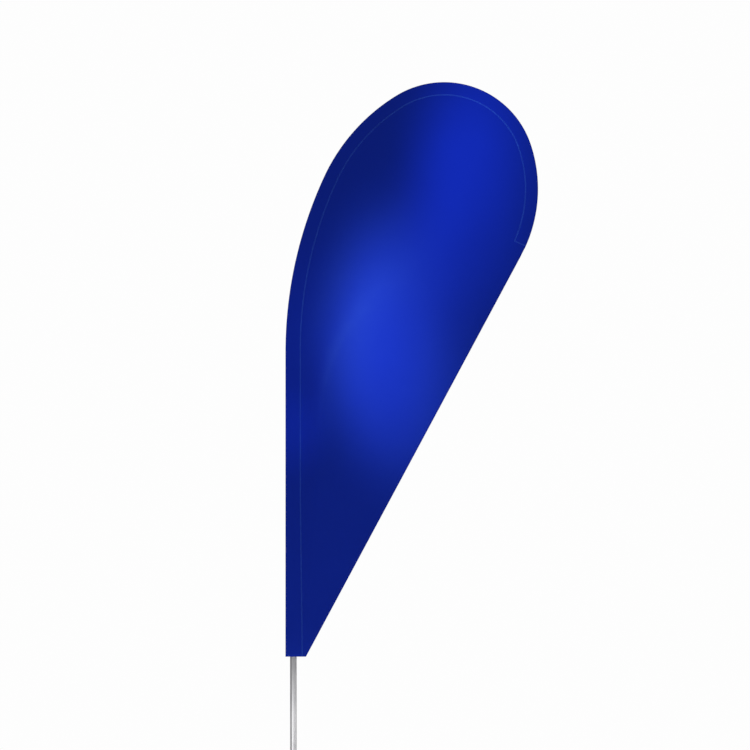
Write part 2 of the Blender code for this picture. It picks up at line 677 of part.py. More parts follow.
def build_lower_pole(mast):
    foot = POLE_FOOT - SAIL_LIFT
    rings = [bow_circle(POLE_RADIUS - POLE_CHAMFER, foot, ROUND),
             bow_circle(POLE_RADIUS, foot + POLE_CHAMFER, ROUND),
             bow_circle(POLE_RADIUS, POLE_JOINT, ROUND),
             bow_circle(POLE_BORE, POLE_JOINT, ROUND),
             bow_circle(POLE_BORE, foot, ROUND)]
    pole = skin("lower_pole", rings, mast, "pole_aluminium", True)
    hole = BUTTON_NECK / 2 + GAP
    reach = POLE_RADIUS + CUTTER_REACH
    cutter = round_cutter("button_hole", hole, 0.0, reach, 0.0, 0.0, mast)
    cutter.rotation_euler = (0.0, pi / 2, button_direction())
    cutter.location = (0.0, 0.0, SAIL_LIFT + BUTTON_HEIGHT)
    cut(pole, cutter)


def build_middle_pole(mast):
    bow_tube("middle_pole", MIDDLE_FOOT, MIDDLE_TOP, MIDDLE_RADIUS, MIDDLE_BORE, ROUND, mast,
             "fibreglass")
    bow_tube("stop_ring", POLE_JOINT + GAP, POLE_JOINT + GAP + STOP_RING_HEIGHT, POLE_RADIUS,
             MIDDLE_RADIUS + GAP, ROUND, mast, "moulded_plastic")


def build_upper_rod(mast):
    places = stations(ROD_FOOT, ROD_TOP)
    rings = [bow_circle(rod_radius(place), place, ROD_ROUND) for place in places]
    skin("upper_rod", rings, mast, "fibreglass")

    bore = rod_radius(BUSH_FOOT) + GAP
    rim = MIDDLE_TOP + GAP
    plug = MIDDLE_BORE - GAP
    sections = [(plug, place) for place in stations(BUSH_FOOT, rim)]
    sections += [(MIDDLE_RADIUS, rim), (MIDDLE_RADIUS, rim + BUSH_RIM)]
    sections += [(bore, rim + BUSH_RIM), (bore, rim)]
    sections += [(bore, place) for place in reversed(stations(BUSH_FOOT, rim)[:-1])]
    rings = [bow_circle(radius, place, ROUND) for radius, place in sections]
    skin("reducer_bush", rings, mast, "moulded_plastic", True)

    inside = rod_radius(CAP_FOOT) + GAP
    around_rod = stations(CAP_FOOT, ROD_TOP + GAP)
    sections = [(inside, place) for place in reversed(around_rod)]
    sections += [(CAP_RADIUS, place) for place in around_rod]
    sections += [(CAP_RADIUS, CAP_TOP - CHAMFER), (CAP_RADIUS - CHAMFER, CAP_TOP)]
    rings = [bow_circle(radius, place, ROD_ROUND) for radius, place in sections]
    skin("tip_cap", rings, mast, "foot_rubber")

    pad = CAP_RADIUS - FINE_CHAMFER
    rings = [bow_circle(pad, place, ROD_ROUND) for place in (TIP_PAD_TOP - TIP_PAD, TIP_PAD_TOP)]
    skin("tip_pad", rings, mast, "loop_elastic")


def build_tension_button(mast):
    """Riveted button on the pole, and the elastic loop that hooks over it."""
    height = SAIL_LIFT + BUTTON_HEIGHT
    neck, head = BUTTON_NECK / 2, BUTTON_HEAD / 2
    room = GAP + LOOP_THICKNESS + GAP
    rivet = neck + RIVET_FLANGE
    flat_bore = POLE_BORE * cos(pi / ROUND)
    tail = (flat_bore ** 2 - rivet ** 2) ** 0.5 - GAP
    under_head = POLE_RADIUS + room
    sections = ((rivet, tail - RIVET_TAIL), (rivet, tail), (neck, tail),
                (neck, under_head), (head, under_head),
                (head, under_head + BUTTON_HEAD_THICKNESS * BUTTON_DOME_SHARE),
                (head * BUTTON_DOME_SHARE, under_head + BUTTON_HEAD_THICKNESS))
    rings = []
    for radius, x in sections:
        rings.append([Vector((x, point.x, height + point.y)) for point in circle(radius, 0.0)])
    button = skin("tension_button", rings, mast, "plain_steel")
    button.rotation_euler.z = button_direction()

    inner_radius = neck + GAP
    outer_radius = inner_radius + LOOP_STRAND
    top, foot = height + outer_radius, SAIL_LIFT + LOOP_LIFT
    middle = (top + foot) / 2
    rings = []
    front = POLE_RADIUS + GAP
    back = front + LOOP_THICKNESS
    for grow, x in ((0.0, front), (0.0, back), (LOOP_STRAND, back), (LOOP_STRAND, front)):
        width = 2 * (outer_radius - grow)
        tall = top - foot - 2 * grow
        corner = width / 2 - LOOP_FLAT

        def put(across, up, x=x):
            return Vector((x, across, middle + up))
        rings.append(rounded_rectangle(width, tall, corner, put))
    loop = skin("tension_loop", rings, mast, "loop_elastic", True)
    loop.rotation_euler.z = button_direction()


# ---------------------------------------------------------------- sail

def inner_sides(length):
    """How far the pocket's inside reaches from the pole's axis to its fold and to its seam."""
    edge = edge_to_pole(turn_at(length))
    return edge - POCKET_FOLD, pocket_width(length) - edge - POCKET_SEAM


def wrap_span(length):
    """Angles round the pole between which the pocket's back lies on it."""
    radius = pocket_room(length)
    back = CLOTH / 2 - radius
    fold, seam = inner_sides(length)
    first = pi + atan2(-back, fold) - acos(radius / (fold ** 2 + back ** 2) ** 0.5)
    last = atan2(back, seam) + acos(radius / (seam ** 2 + back ** 2) ** 0.5)
    return first, last


def wrap_ring(length, radius, fold, seam, edge):
    """Ring of cloth over a pole: flat across the front, and pulled round the pole at the back."""
    centre, inward = bow_frame(length)
    first, last = wrap_span(length)
    front = -radius
    back = front + edge
    reach = radius / cos((first - last) / (WRAP_STEPS * 2))
    across = [(-fold, front), (-fold, back)]
    for step in range(WRAP_STEPS + 1):
        angle = first + (last - first) * step / WRAP_STEPS
        across.append((reach * cos(angle), reach * sin(angle)))
    across += [(seam, back), (seam, front)]
    return [centre + inward * a + Vector((0, b, 0)) for a, b in across]


def outer_wrap(length):
    edge = edge_to_pole(turn_at(length))
    seam = pocket_width(length) - edge
    return wrap_ring(length, pocket_room(length) + CLOTH, edge, seam, 2 * CLOTH)


def inner_wrap(length):
    fold, seam = inner_sides(length)
    return wrap_ring(length, pocket_room(length), fold, seam, CLOTH / 2)


def build_pole_pocket(mast):
    """Sleeve of cloth: open at the foot, closed just past the rod's tip."""
    inside = [inner_wrap(place) for place in reversed(stations(0.0, CAVITY_END))]
    outside = [outer_wrap(place) for place in stations(0.0, POCKET_LENGTH)]
    skin("pole_pocket", inside + outside, mast, "sail_cloth", split=True)


def sail_plane(length):
    """The sail's middle surface, level with the pocket's front."""
    return -(pocket_room(length) + CLOTH / 2)


def seam_point(length):
    """Point on the sail panel's edge, just inside the pocket's seam."""
    centre, inward = bow_frame(length)
    across = pocket_width(length) - edge_to_pole(turn_at(length)) + CLOTH_GAP
    return centre + inward * across + Vector((0, sail_plane(length), 0))


def sail_sides():
    """Matching points up the left side and up the right side of the sail panel."""
    marks = stations(0.0, POCKET_LENGTH)
    left = [seam_point(mark) for mark in marks if turn_at(mark) <= APEX_TURN]
    right = [seam_point(mark) for mark in marks if turn_at(mark) > APEX_TURN]
    right.reverse()
    below = POCKET_LENGTH + CLOTH_GAP
    centre, inward = bow_frame(below)
    depth = Vector((0, sail_plane(below), 0))
    edge = edge_to_pole(turn_at(below))
    right[0] = centre + inward * (pocket_width(below) - edge + CLOTH_GAP) + depth
    outer_end = centre - inward * edge + depth
    x, z = edge_at_turn(END_TURN)
    tangent_point = Vector((x, depth.y, SAIL_LIFT + z))
    corner = Vector((FOOT_WIDTH - EDGE_TO_POLE_FOOT, sail_plane(0.0), SAIL_LIFT))
    count = len(left) - len(right) - 1
    trailing = [corner.lerp(tangent_point, step / (count - 1)) for step in range(count)]
    return left, trailing + [outer_end] + right


def smooth_step(value, start, end):
    share = min(max((value - start) / (end - start), 0.0), 1.0)
    return share * share * (3 - 2 * share)


def belly(across, rise):
    """How far the sail stands out, as a share of BELLY: flat at both sides, with one crest."""
    shift = smooth_step(rise, CREST_SHIFT_FROM, CREST_SHIFT_TO)
    crest = BELLY_CREST_LOW + (BELLY_CREST_HIGH - BELLY_CREST_LOW) * shift
    if across < crest:
        bump = (1 - cos(pi * across / crest)) / 2
    else:
        bump = (1 + cos(pi * (across - crest) / (1 - crest))) / 2
    height = min(max(rise, 0.0), 1.0) ** BELLY_RISE
    return bump * sin(pi * height) ** BELLY_SHARPNESS


def build_sail_panel(mast):
    """One sheet of cloth, bellied a little between the pocket and the trailing edge."""
    left, right = sail_sides()
    rows = []
    for start, end in zip(left, right):
        rise = ((start.z + end.z) / 2 - SAIL_LIFT) / SAIL_HEIGHT
        row = []
        for step in range(SAIL_COLUMNS + 1):
            share = step / SAIL_COLUMNS
            point = start.lerp(end, share)
            point.y -= BELLY * belly(share, rise)
            row.append(point)
        rows.append(row)
    half = Vector((0, CLOTH / 2, 0))
    built = bmesh.new()
    front = [[built.verts.new(point - half) for point in row] for row in rows]
    back = [[built.verts.new(point + half) for point in row] for row in rows]
    for sheet in (front, back):
        for low, high in zip(sheet, sheet[1:]):
            for step in range(SAIL_COLUMNS):
                built.faces.new((low[step], low[step + 1], high[step + 1], high[step]))
    rim_front = front[0] + [row[-1] for row in front[1:]]
    rim_front += list(reversed(front[-1][:-1])) + [row[0] for row in reversed(front[1:-1])]
    rim_back = back[0] + [row[-1] for row in back[1:]]
    rim_back += list(reversed(back[-1][:-1])) + [row[0] for row in reversed(back[1:-1])]
    for index in range(len(rim_front)):
        after = (index + 1) % len(rim_front)
        corners = (rim_front[index], rim_front[after], rim_back[after], rim_back[index])
        built.faces.new(corners)
    bmesh.ops.recalc_face_normals(built, faces=built.faces)
    mesh = bpy.data.meshes.new("sail_panel")
    built.to_mesh(mesh)
    built.free()
    mesh.shade_smooth()
    add_piece("sail_panel", mesh, mast, "sail_cloth")


def main():
    for leftover in list(bpy.data.objects):
        bpy.data.objects.remove(leftover)
    base = add_empty("base_axis")
    folding_bar = add_empty("fold_axis")
    rotator = add_empty("rotator_axis")
    mast = add_empty("mast_axis")
    build_cross_base(base, folding_bar)
    build_spindle(base)
    build_clamp(base)
    build_rotator(base, rotator)
    build_lower_pole(mast)
    build_middle_pole(mast)
    build_upper_rod(mast)
    build_tension_button(mast)
    build_pole_pocket(mast)
    build_sail_panel(mast)


main()
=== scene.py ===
"""Teardrop flag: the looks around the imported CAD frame.

The sail is one knitted cloth whose bowed edge is folded back over the poles and sewn down as a
pocket. Its outline repeats the CAD's bow, placed and sized from the frame's own boxes. Everything
else keeps its CAD shape and gets a procedural finish.
"""

import json
from bisect import bisect_left
from math import acos, atan2, cos, hypot, pi, radians, sin

import bmesh
import bpy
from mathutils import Matrix, Vector, noise


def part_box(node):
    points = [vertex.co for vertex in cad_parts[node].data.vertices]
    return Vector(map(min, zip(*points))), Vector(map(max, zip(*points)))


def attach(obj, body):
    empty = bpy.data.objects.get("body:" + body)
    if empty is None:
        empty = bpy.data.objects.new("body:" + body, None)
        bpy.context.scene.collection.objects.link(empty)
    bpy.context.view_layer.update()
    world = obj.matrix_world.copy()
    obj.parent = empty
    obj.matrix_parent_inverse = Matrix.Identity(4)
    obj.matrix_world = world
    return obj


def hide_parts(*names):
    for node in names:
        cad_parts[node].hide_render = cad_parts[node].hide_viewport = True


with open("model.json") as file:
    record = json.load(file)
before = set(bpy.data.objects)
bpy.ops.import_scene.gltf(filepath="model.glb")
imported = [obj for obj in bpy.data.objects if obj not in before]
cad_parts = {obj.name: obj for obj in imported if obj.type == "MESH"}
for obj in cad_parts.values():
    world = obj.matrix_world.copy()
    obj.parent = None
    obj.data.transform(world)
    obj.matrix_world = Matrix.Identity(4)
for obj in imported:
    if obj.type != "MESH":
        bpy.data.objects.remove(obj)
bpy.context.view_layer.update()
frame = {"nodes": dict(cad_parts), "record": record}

# Bow: tangent arcs above the straight stretch, each radius a share of the bow's width
BOW_RADII = (1.707, 0.7545, 0.3555, 0.5628)
BOW_TURNS = (radians(24.9), radians(33.4), radians(103.2))
EDGE_TO_POLE_FOOT = 0.0293
EDGE_TO_POLE_TIP = 0.0204
FOOT_WIDTH = 0.0767
POCKET_SHORT_OF_EDGE = 0.040
POCKET_WIDTH_FOOT = 0.0633
POCKET_WIDTH_STRAIGHT = 0.0562
POCKET_WIDTH_SHOULDER = 0.0483
POCKET_WIDTH_TIP = 0.0468
POCKET_FLARE = 0.590
SHOULDER_TURN = radians(35)
LATEST_TURN = 1.45 * pi         # the bow has surely met the trailing edge by this turn
HALVINGS = 50

# Cloth
CLOTH = 0.0005
CLOTH_GAP = 0.0006
LAYER_PITCH = 1.15              # from one layer's middle to the next, as a share of CLOTH
FOLD_ROUND = 0.5                # how far a fold stands out, as a share of CLOTH
BELLY = 0.045                   # how far the sail stands out of its own plane
BELLY_CREST_LOW = 0.17          # the belly's crest, as a share of the way across the sail
BELLY_CREST_HIGH = 0.60
CREST_SHIFT_FROM = 0.45         # heights between which the crest moves over, as shares
CREST_SHIFT_TO = 0.84
BELLY_RISE = 1.42               # above 1 the belly sits higher up the sail
BELLY_SHARPNESS = 2.0           # above 1 the belly runs out sooner towards foot and top
LEAST_SPAN = 0.001              # the free cloth is never taken as narrower than this
WAVE = 0.004                    # how far the cloth is uneven, besides its belly
WAVES_ACROSS = 5.0              # scale of that unevenness, per metre
WAVES_UP = 2.2
WAVE_START = 0.12               # distance from the pocket over which it sets in
SLACK = 0.0006
SLACK_ALONG = 28.0              # scale of the back strip's gathers, per metre
SLACK_ACROSS = 40.0
SLACK_LAYER = 3.0               # which slice of the noise the gathers are read from
PUCKER_DRIFT = 9.0              # scale on which the puckers' spacing drifts, per metre
PUCKER_SWAY = 4.0               # how far it drifts, in radians
PUCKER_LAYER = 7.0              # its own slice of the noise
PUCKER = 0.00035
PUCKER_PITCH = 0.013
NARROW_DELAY = 0.030            # from the lower pole's top to where the pocket starts to narrow
NARROW_AT_JOINT = 0.120         # length over which it narrows to the middle pole
NARROW_STEP = 0.0018            # how much less room the middle pole needs, in radius
ROD_NARROW_FROM = 1.48          # length along the pole where it starts to narrow to the upper rod
ROD_NARROW_TO = 1.75            # and where it has done so
ROD_ROOM = 0.0060               # the room's radius where it has narrowed to the rod
TIP_ROOM = 0.0058               # the same, at the pocket's end
SEAM_ALLOWANCE = 0.004
CLOSE_LENGTH = 0.012
CLOSE_STEPS = 4
HEM_WIDTH = 0.010

# Stitches
THREAD = 0.0011
STITCH_LENGTH = 0.0036
STITCH_PITCH = 0.0044
STITCH_SIDES = 5
THREAD_PROUD = 0.2              # how far its middle stands clear of the cloth, as a share of its radius
# Rings of one stitch: place along it and thickness, as shares of its length and the thread
STITCH_RINGS = ((-0.5, 0.3), (-0.36, 0.85), (0.0, 1.0), (0.36, 0.85), (0.5, 0.3))
SEAM_LOOK = 0.002               # how far ahead and behind the seam's direction is read
HEM_MIDDLE = 0.5                # where the hem has a row of points, as a share of its width
HEM_ROW = 0.8                   # where the hem is sewn, as a share of its width
ROW_GAP = 0.0026

# Mesh density
STATION_STEP = 0.010
BAND_COLUMNS = 14
PANEL_COLUMNS = 90
FREE_STEPS = 6
WRAP_STEPS = 10

# Colours
SAIL_BLUE = (0.0042, 0.0205, 0.500)
SAIL_BLUE_DARK = (0.0038, 0.0180, 0.455)
THREAD_BLUE = (0.045, 0.19, 0.92)
THREAD_DARK = (0.03, 0.13, 0.76)
ALUMINIUM = (0.88, 0.88, 0.89)
ALUMINIUM_DULL = (0.74, 0.74, 0.76)
FIBREGLASS = (0.045, 0.046, 0.05)
FIBREGLASS_DARK = (0.022, 0.022, 0.024)
FIBREGLASS_LIGHT = (0.075, 0.076, 0.08)
POWDER = (0.016, 0.016, 0.017)
POWDER_WORN = (0.06, 0.06, 0.062)
ZINC = (0.62, 0.63, 0.64)
ZINC_DARK = (0.48, 0.49, 0.5)
ZINC_LIGHT = (0.68, 0.69, 0.7)
NYLON = (0.018, 0.018, 0.019)
NYLON_WORN = (0.045, 0.045, 0.047)
RUBBER = (0.012, 0.012, 0.012)
RUBBER_CLEAN = (0.010, 0.010, 0.010)
RUBBER_DUSTY = (0.030, 0.029, 0.028)
ELASTIC = (0.015, 0.015, 0.017)
ELASTIC_DARK = (0.008, 0.008, 0.009)
ELASTIC_LIGHT = (0.035, 0.035, 0.038)
FLOOR = (0.82, 0.82, 0.82)
FLOOR_DARK = (0.80, 0.80, 0.80)
FLOOR_LIGHT = (0.84, 0.84, 0.84)

# Knit, texture and wear
KNIT_WALES = 180.0              # columns and rows of loops, as scales of the wave textures
KNIT_COURSES = 140.0
TEXTURE_LOW = 0.3               # the part of a texture's range that is put to use
TEXTURE_HIGH = 0.7
WEAR_LOW = 0.52                 # how sharp an edge is before it starts to wear
WEAR_HIGH = 0.62

# Light and floor
AMBIENT = 0.352
REFLECTED = 0.01
BACKDROP = 0.985
POLE_TARGET_HEIGHT = 0.35
POLE_BOX = 0.2
POLE_KEY_PLACE = (0.80, -0.60, 0.20)
POLE_KEY_POWER = 0.04
POLE_FILL_PLACE = (-0.60, -1.10, 0.15)
POLE_FILL_POWER = 0.085
POLE_SPREAD = radians(26)
BACK_PLACE = (1.6, 3.4, 2.8)
BACK_TARGET = (0.0, 0.0, 1.4)
BACK_BOX = 2.5
BACK_POWER = 90.0
FLOOR_CLEAR = 1.2
FLOOR_GLOW = 0.26
FLOOR_RADIUS = 3.4
FLOOR_SIDES = 96
FLOOR_DROP = 0.001              # the floor lies this far under the feet
SPOT_SIZE = 0.12                # radius of each spot, which softens its shadows

# Spots on the sail's front: place, target, half angle, width against height, roll, power, glossy
BEAMS = (
    ("low_beam", (-0.50, -1.2, 1.80), (0.10, 0.0, 1.80), 26, 0.42, 0, 70, True),
    ("high_beam", (-0.15, -1.2, 2.50), (0.40, 0.0, 2.40), 26, 0.40, -6, 44, False),
    ("top_beam", (0.90, -1.2, 3.00), (0.40, 0.0, 2.60), 17, 0.60, 17, 9, False),
    ("pocket_beam", (-0.35, -1.2, 1.60), (-0.26, 0.0, 1.80), 23, 0.15, -4, 13, False),
    ("glint_beam", (-0.30, -1.2, 1.60), (-0.27, 0.0, 1.45), 6, 0.60, 0, 30, False),
)

# Camera: the picture's middle and height, in the flag's own plane
VIEW_CENTRE = (0.0374, 1.6628)
VIEW_HEIGHT = 2.858
LENS = 300.0
SENSOR = 36.0


# ---------------------------------------------------------------- places read from the frame

pocket_low, pocket_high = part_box("pole_pocket")
pole_low, pole_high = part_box("lower_pole")
POLE_X = (pole_low.x + pole_high.x) / 2
POLE_RADIUS = (pole_high.x - pole_low.x) / 2
SAIL_LIFT = pocket_low.z
SAIL_HEIGHT = pocket_high.z - pocket_low.z
SAIL_WIDTH = pocket_high.x - pocket_low.x
POLE_JOINT = pole_high.z - SAIL_LIFT


# ---------------------------------------------------------------- the bow's line

def interpolate(value, knots):
    if value <= knots[0][0]:
        return knots[0][1]
    for (place_a, value_a), (place_b, value_b) in zip(knots, knots[1:]):
        if value <= place_b:
            return value_a + (value_b - value_a) * (value - place_a) / (place_b - place_a)
    return knots[-1][1]


def smooth_step(value, start, end):
    share = min(max((value - start) / (end - start), 0.0), 1.0)
    return share * share * (3 - 2 * share)


def bow_at_turn(turn, radii, straight):
    """Point and path length on the bow where it has turned by this angle from straight up."""
    x, z, heading, length = 0.0, straight, 0.0, straight
    for radius, sweep in zip(radii, BOW_TURNS + (2 * pi,)):
        part = min(sweep, turn - heading)
        x += radius * (cos(heading) - cos(heading + part))
        z += radius * (sin(heading + part) - sin(heading))
        heading += part
        length += radius * part
        if turn <= heading:
            break
    return x, z, length


def edge_to_pole(turn):
    return EDGE_TO_POLE_FOOT + (EDGE_TO_POLE_TIP - EDGE_TO_POLE_FOOT) * turn / pi


BOW_WIDTH = SAIL_WIDTH - EDGE_TO_POLE_FOOT - EDGE_TO_POLE_TIP
RADII = tuple(share * BOW_WIDTH / bow_at_turn(pi, BOW_RADII, 0.0)[0] for share in BOW_RADII)
STRAIGHT = SAIL_HEIGHT - edge_to_pole(pi / 2) - bow_at_turn(pi / 2, RADII, 0.0)[1]


def edge_at_turn(turn):
    x, z = bow_at_turn(turn, RADII, STRAIGHT)[:2]
    return x - edge_to_pole(turn) * cos(turn), z + edge_to_pole(turn) * sin(turn)


def trailing_turn():
    """The turn at which the edge points straight at the foot's outer corner."""
    corner = FOOT_WIDTH - EDGE_TO_POLE_FOOT
    low, high = pi, LATEST_TURN
    for halving in range(HALVINGS):
        middle = (low + high) / 2
        x, z = edge_at_turn(middle)
        if middle < pi + atan2(x - corner, z):
            low = middle
        else:
            high = middle
    return low


END_TURN = trailing_turn()
POCKET_LENGTH = bow_at_turn(END_TURN, RADII, STRAIGHT)[2] - POCKET_SHORT_OF_EDGE
SHOULDER_LENGTH = bow_at_turn(SHOULDER_TURN, RADII, STRAIGHT)[2]


def turn_at(length):
    left, turned = length - STRAIGHT, 0.0
    if left <= 0:
        return 0.0
    for radius, sweep in zip(RADII, BOW_TURNS + (2 * pi,)):
        if left <= radius * sweep:
            return turned + left / radius
        left -= radius * sweep
        turned += sweep
    return turned


def bow_frame(length):
    """Centre of the pole, and the direction towards the inside of the bow."""
    turn = turn_at(length)
    if turn == 0.0:
        centre = Vector((POLE_X, 0.0, SAIL_LIFT + length))
    else:
        x, z = bow_at_turn(turn, RADII, STRAIGHT)[:2]
        centre = Vector((POLE_X + x, 0.0, SAIL_LIFT + z))
    return centre, Vector((cos(turn), 0.0, -sin(turn)))


def pocket_width(length):
    knots = ((0.0, POCKET_WIDTH_FOOT), (POCKET_FLARE, POCKET_WIDTH_STRAIGHT),
             (STRAIGHT, POCKET_WIDTH_STRAIGHT), (SHOULDER_LENGTH, POCKET_WIDTH_SHOULDER),
             (POCKET_LENGTH, POCKET_WIDTH_TIP))
    return interpolate(length, knots)


def pocket_room(length):
    """Radius around the pole's axis that the cloth keeps clear of."""
    narrow = POLE_RADIUS - NARROW_STEP
    knots = ((POLE_JOINT + NARROW_DELAY, POLE_RADIUS),
             (POLE_JOINT + NARROW_DELAY + NARROW_AT_JOINT, narrow),
             (ROD_NARROW_FROM, narrow), (ROD_NARROW_TO, ROD_ROOM), (POCKET_LENGTH, TIP_ROOM))
    return interpolate(length, knots) + CLOTH_GAP


def front_depth(length):
    """Y of the cloth's front sheet, which lies against the front of the poles."""
    return -(pocket_room(length) + CLOTH / 2)


# ---------------------------------------------------------------- mesh helpers

def link(name, mesh):
    made = bpy.data.objects.new(name, mesh)
    bpy.context.scene.collection.objects.link(made)
    return made


def finish_mesh(name, built, smooth=True):
    bmesh.ops.recalc_face_normals(built, faces=built.faces)
    mesh = bpy.data.meshes.new(name)
    built.to_mesh(mesh)
    built.free()
    if smooth:
        mesh.shade_smooth()
    return link(name, mesh)


def solidify(piece, thickness):
    modifier = piece.modifiers.new("thickness", "SOLIDIFY")
    modifier.thickness = thickness
    modifier.offset = 0.0
    modifier.use_even_offset = True


# ---------------------------------------------------------------- sail

STATION_COUNT = round(POCKET_LENGTH / STATION_STEP)
STATIONS = [POCKET_LENGTH * number / STATION_COUNT for number in range(STATION_COUNT + 1)]


def band_point(length, across, behind=0.0):
    """A point on the pocket's front: across runs from the folded edge to the seam."""
    centre, inward = bow_frame(length)
    edge = edge_to_pole(turn_at(length))
    return centre + inward * (across - edge) + Vector((0, front_depth(length) + behind, 0))


def seam_point(length):
    return band_point(length, pocket_width(length))


APEX = max(range(STATION_COUNT + 1), key=lambda number: seam_point(STATIONS[number]).z)
SEAM_TOP = seam_point(STATIONS[APEX]).z
FOOT_CORNER = Vector((POLE_X + FOOT_WIDTH - EDGE_TO_POLE_FOOT, front_depth(0.0), SAIL_LIFT))
END_LENGTH = POCKET_LENGTH + POCKET_SHORT_OF_EDGE
TANGENT_POINT = band_point(END_LENGTH, 0.0)


def trailing_points(count):
    """Points from the foot's outer corner up the trailing edge to just below the pocket's end."""
    straight = (TANGENT_POINT - FOOT_CORNER).length
    total = straight + POCKET_SHORT_OF_EDGE
    points = []
    for step in range(count):
        walked = total * step / count
        if walked <= straight:
            points.append(FOOT_CORNER.lerp(TANGENT_POINT, walked / straight))
        else:
            points.append(band_point(END_LENGTH - (walked - straight), 0.0))
    return points


def side_lines():
    """The level span of the free cloth at each height: the pocket's seam and the outer edge."""
    left = [(seam_point(length).z, seam_point(length).x) for length in STATIONS[:APEX + 1]]
    right = [(FOOT_CORNER.z, FOOT_CORNER.x), (TANGENT_POINT.z, TANGENT_POINT.x)]
    for length in reversed(STATIONS):
        point = band_point(length, 0.0)
        if point.z <= right[-1][0]:
            if turn_at(length) < pi / 2:
                break
            continue
        right.append((point.z, point.x))
    return left, right


LEFT_LINE, RIGHT_LINE = side_lines()
LEFT_HEIGHTS = [z for z, x in LEFT_LINE]
RIGHT_HEIGHTS = [z for z, x in RIGHT_LINE]


def line_x(line, heights, z):
    place = min(max(bisect_left(heights, z), 1), len(line) - 1)
    (z_low, x_low), (z_high, x_high) = line[place - 1], line[place]
    share = min(max((z - z_low) / (z_high - z_low), 0.0), 1.0)
    return x_low + (x_high - x_low) * share


def belly(x, z):
    """How far the wind pushes the cloth out at this place of the sail."""
    rise = min(max((z - SAIL_LIFT) / (SEAM_TOP - SAIL_LIFT), 0.0), 1.0)
    left = line_x(LEFT_LINE, LEFT_HEIGHTS, z)
    right = line_x(RIGHT_LINE, RIGHT_HEIGHTS, z)
    across = min(max((x - left) / max(right - left, LEAST_SPAN), 0.0), 1.0)
    shift = smooth_step(rise, CREST_SHIFT_FROM, CREST_SHIFT_TO)
    crest = BELLY_CREST_LOW + (BELLY_CREST_HIGH - BELLY_CREST_LOW) * shift
    if across < crest:
        bump = (1 - cos(pi * across / crest)) / 2
    else:
        bump = (1 + cos(pi * (across - crest) / (1 - crest))) / 2
    return BELLY * bump * sin(pi * rise ** BELLY_RISE) ** BELLY_SHARPNESS


def relax(point):
    """The belly, and the faint unevenness of cloth that hangs between a pole and a free edge."""
    place = Vector((point.x * WAVES_ACROSS, 0.0, point.z * WAVES_UP))
    wave = noise.noise(place) * WAVE * sin(pi * min(max((point.z - SAIL_LIFT) / SAIL_HEIGHT, 0), 1))
    left = line_x(LEFT_LINE, LEFT_HEIGHTS, point.z)
    free = smooth_step(point.x - left, 0.0, WAVE_START) if point.z < SEAM_TOP else 0.0
    point.y -= belly(point.x, point.z) + wave * free


def build_sail_sheet():
    """Pocket front, panel and trailing corner as one continuous cloth."""
    built = bmesh.new()
    band = []
    for length in STATIONS:
        width = pocket_width(length)
        row = [built.verts.new(band_point(length, width * step / BAND_COLUMNS))
               for step in range(BAND_COLUMNS + 1)]
        band.append(row)
    for low, high in zip(band, band[1:]):
        for step in range(BAND_COLUMNS):
            built.faces.new((low[step], low[step + 1], high[step + 1], high[step]))

    left = [row[-1] for row in band[:APEX]]
    right_seam = [row[-1] for row in reversed(band[APEX + 1:])]
    cross_seam = list(band[-1][:-1])
    count = len(left) - len(right_seam) - len(cross_seam)
    right = [built.verts.new(point) for point in trailing_points(count)] + cross_seam + right_seam
    rows = []
    for start, end in zip(left, right):
        row = [start]
        row += [built.verts.new(start.co.lerp(end.co, step / PANEL_COLUMNS))
                for step in range(1, PANEL_COLUMNS)]
        rows.append(row + [end])
    for low, high in zip(rows, rows[1:]):
        for step in range(PANEL_COLUMNS):
            built.faces.new((low[step], low[step + 1], high[step + 1], high[step]))
    top = band[APEX][-1]
    built.faces.new(rows[-1] + [top])
    for vertex in built.verts:
        relax(vertex.co)
    return finish_mesh("sail_sheet", built)


def back_ring(length):
    """Round the folded edge, up a free strip, round the pole, down again and flat at the seam."""
    centre, inward = bow_frame(length)
    edge = edge_to_pole(turn_at(length))
    seam = pocket_width(length) - edge
    radius = pocket_room(length) + CLOTH / 2
    behind = -radius + CLOTH * LAYER_PITCH
    first = pi + atan2(-behind, edge) - acos(radius / hypot(edge, behind))
    last = atan2(behind, seam - SEAM_ALLOWANCE)
    last += acos(radius / hypot(seam - SEAM_ALLOWANCE, behind))
    fold = Vector((-edge, behind))
    stitched = Vector((seam - SEAM_ALLOWANCE, behind))
    touch = Vector((radius * cos(first), radius * sin(first)))
    leave = Vector((radius * cos(last), radius * sin(last)))
    middle_of_fold = Vector((-edge - FOLD_ROUND * CLOTH, (behind - radius) / 2))
    ring = [(Vector((-edge, -radius)), 1.0), (middle_of_fold, 1.0)]
    for step in range(FREE_STEPS):
        share = step / FREE_STEPS
        ring.append((fold.lerp(touch, share) + slack(length, share, edge), 1 - share))
    for step in range(WRAP_STEPS):
        angle = first + (last - first) * step / WRAP_STEPS
        ring.append((Vector((radius * cos(angle), radius * sin(angle))), 0.0))
    for step in range(FREE_STEPS + 1):
        share = step / FREE_STEPS
        point = leave.lerp(stitched, share) + slack(length, 1 - share, seam, PUCKER)
        ring.append((point, share))
    ring.append((Vector((seam, behind)), 1.0))
    ring.append((Vector((seam + SEAM_ALLOWANCE, behind)), 1.0))
    points = []
    for place, follow in ring:
        point = centre + inward * place.x + Vector((0, place.y, 0))
        points.append(point.lerp(on_cloth(point), follow))
    return points


